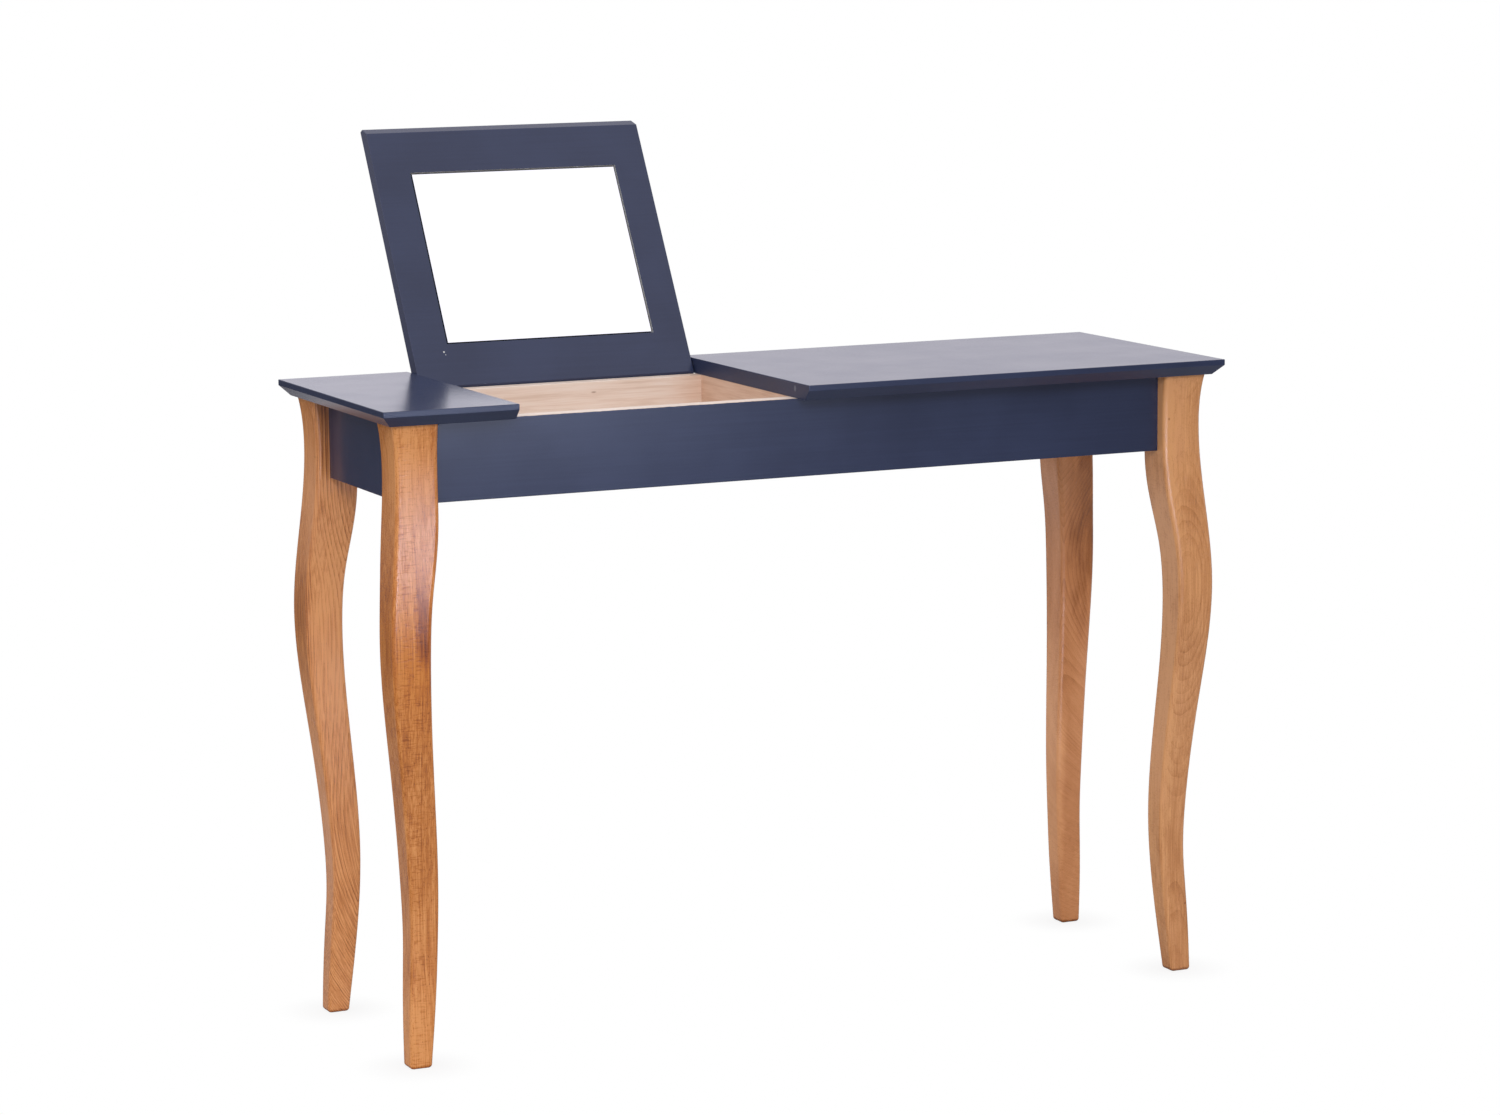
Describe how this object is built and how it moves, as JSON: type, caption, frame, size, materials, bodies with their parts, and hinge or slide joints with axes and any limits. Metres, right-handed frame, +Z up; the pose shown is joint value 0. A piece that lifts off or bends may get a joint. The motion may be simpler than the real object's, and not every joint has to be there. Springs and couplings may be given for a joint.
{
  "type": "vanity table with mirror",
  "caption": "Slim vanity table on curved cabriole legs. A section of the top is a back-hinged lid that lifts to show a mirror in its underside and a shallow compartment.",
  "frame": {"origin": "on the floor, under the middle of the box that holds the table and its open lid", "axes": "+X along the table to the sitter's right, +Y to the back, +Z up"},
  "size_m": [1.05, 0.498, 1.0129],
  "materials": {
    "beech": "clear satin lacquer",
    "paint": "satin dark blue-grey paint on wood",
    "raw_wood": "bare light wood, lacquered",
    "plywood": "thin plywood, lacquered",
    "mirror": "silvered glass",
    "tape": "matte white foam",
    "steel": "zinc-plated",
    "brass": "turned"
  },
  "bodies": {
    "table": {"back_apron": "paint", "bolt_nuts": "steel", "bolt_washers": "steel", "brace_screws": "steel", "bracket_screws": "steel", "compartment_bottom": "plywood", "corner_brace_back_left": "raw_wood", "corner_brace_back_right": "raw_wood", "corner_brace_front_left": "raw_wood", "corner_brace_front_right": "raw_wood", "divider_dowels": "raw_wood", "front_apron": "paint", "hanger_bolts": "steel", "left_apron": "paint", "left_divider": "raw_wood", "left_top": "paint", "leg_back_left": "beech", "leg_back_right": "beech", "leg_front_left": "beech", "leg_front_right": "beech", "pivot_pin_left": "steel", "pivot_pin_right": "steel", "right_apron": "paint", "right_divider": "raw_wood", "right_top": "paint", "top_brackets": "steel"},
    "lid": {"lid": "paint", "mirror_glass": "mirror", "mirror_tape": "tape", "pivot_bush_left": "brass", "pivot_bush_right": "brass"}
  },
  "joints": [
    {"name": "lid_hinge", "type": "hinge", "parent": "table", "child": "lid", "pos_m": [0, 0.07785, 0.731], "axis": [1, 0, 0], "range_deg": [0, 120]}
  ]
}
